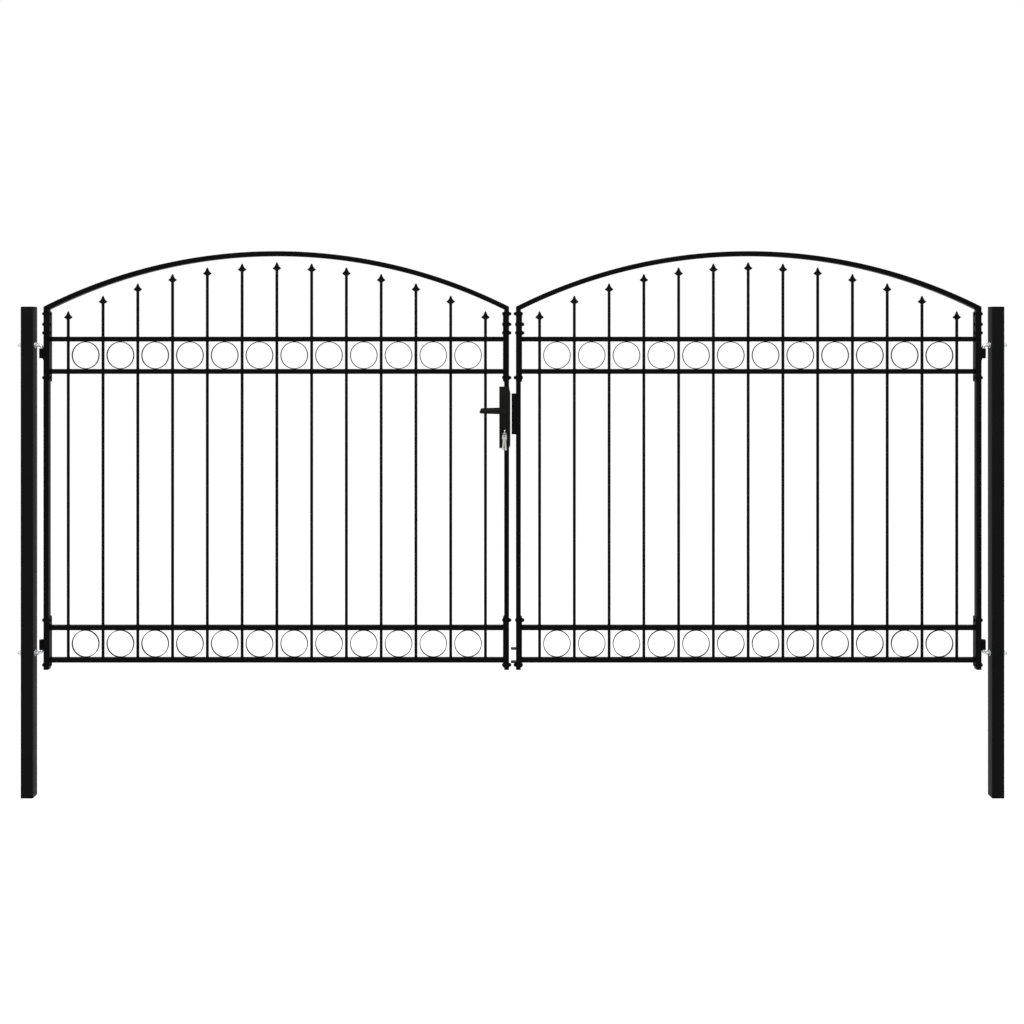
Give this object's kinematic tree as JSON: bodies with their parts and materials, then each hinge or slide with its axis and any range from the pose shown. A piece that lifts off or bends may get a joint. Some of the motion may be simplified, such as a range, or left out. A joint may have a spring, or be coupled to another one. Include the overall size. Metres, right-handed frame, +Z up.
{
  "type": "double-leaf garden gate",
  "caption": "Arched double-leaf steel garden gate on two square posts, with upright spear-tipped bars, rows of rings, pintle hinges, and a lever lock.",
  "frame": {"origin": "centre of the left post's foot face", "axes": "+X from the left post to the right post, +Y to the back of the gate, +Z up"},
  "size_m": [4.04, 0.14, 2.2258],
  "materials": {
    "post_steel": "satin black powder coat",
    "leaf_steel": "satin black powder coat",
    "lock_black": "fine-grained black coat",
    "cap_plastic": "moulded black",
    "zinc_steel": "bright zinc plate",
    "nickel": "satin nickel",
    "key_steel": "bright nickel"
  },
  "bodies": {
    "posts": {"left_post": "post_steel", "left_post_cap": "cap_plastic", "left_pintles": "zinc_steel", "right_post": "post_steel", "right_post_cap": "cap_plastic", "right_pintles": "zinc_steel"},
    "left_leaf": {"left_arch": "leaf_steel", "left_barrels": "leaf_steel", "left_bars": "leaf_steel", "left_bottom_rail": "leaf_steel", "left_end_flats": "leaf_steel", "left_high_rail": "leaf_steel", "left_hinge_stile": "leaf_steel", "left_low_rail": "leaf_steel", "left_lower_rings": "leaf_steel", "left_meeting_stile": "leaf_steel", "left_spearheads": "leaf_steel", "left_stile_plugs": "cap_plastic", "left_top_rail": "leaf_steel", "left_upper_rings": "leaf_steel", "lock_plate_front": "lock_black", "lock_plate_back": "lock_black", "lock_case": "lock_black", "lock_cylinder": "nickel"},
    "right_leaf": {"right_arch": "leaf_steel", "right_barrels": "leaf_steel", "right_bars": "leaf_steel", "right_bottom_rail": "leaf_steel", "right_end_flats": "leaf_steel", "right_high_rail": "leaf_steel", "right_hinge_stile": "leaf_steel", "right_low_rail": "leaf_steel", "right_lower_rings": "leaf_steel", "right_meeting_stile": "leaf_steel", "right_spearheads": "leaf_steel", "right_stile_plugs": "cap_plastic", "right_top_rail": "leaf_steel", "right_upper_rings": "leaf_steel", "keeper": "leaf_steel", "bolt_guides": "leaf_steel"},
    "lever": {"lever_front": "lock_black", "lever_back": "lock_black", "lever_spindle": "zinc_steel"},
    "key_set": {"key_plug": "nickel", "key": "key_steel", "spare_keys": "key_steel"}
  },
  "joints": [
    {"name": "left_leaf_swing", "type": "hinge", "parent": "posts", "child": "left_leaf", "pos_m": [0.053, 0, 1], "axis": [0, 0, 1], "range_deg": [-90, 90]},
    {"name": "right_leaf_swing", "type": "hinge", "parent": "posts", "child": "right_leaf", "pos_m": [3.897, 0, 1], "axis": [0, 0, 1], "range_deg": [-90, 90]},
    {"name": "lever_turn", "type": "hinge", "parent": "left_leaf", "child": "lever", "pos_m": [1.943, 0, 1.5745], "axis": [0, -1, 0], "range_deg": [0, 45], "stiffness_Nm_per_rad": 2, "springref_deg": -5.73},
    {"name": "key_turn", "type": "hinge", "parent": "left_leaf", "child": "key_set", "pos_m": [1.943, 0, 1.4815], "axis": [0, 1, 0], "range_deg": [-90, 90]}
  ]
}
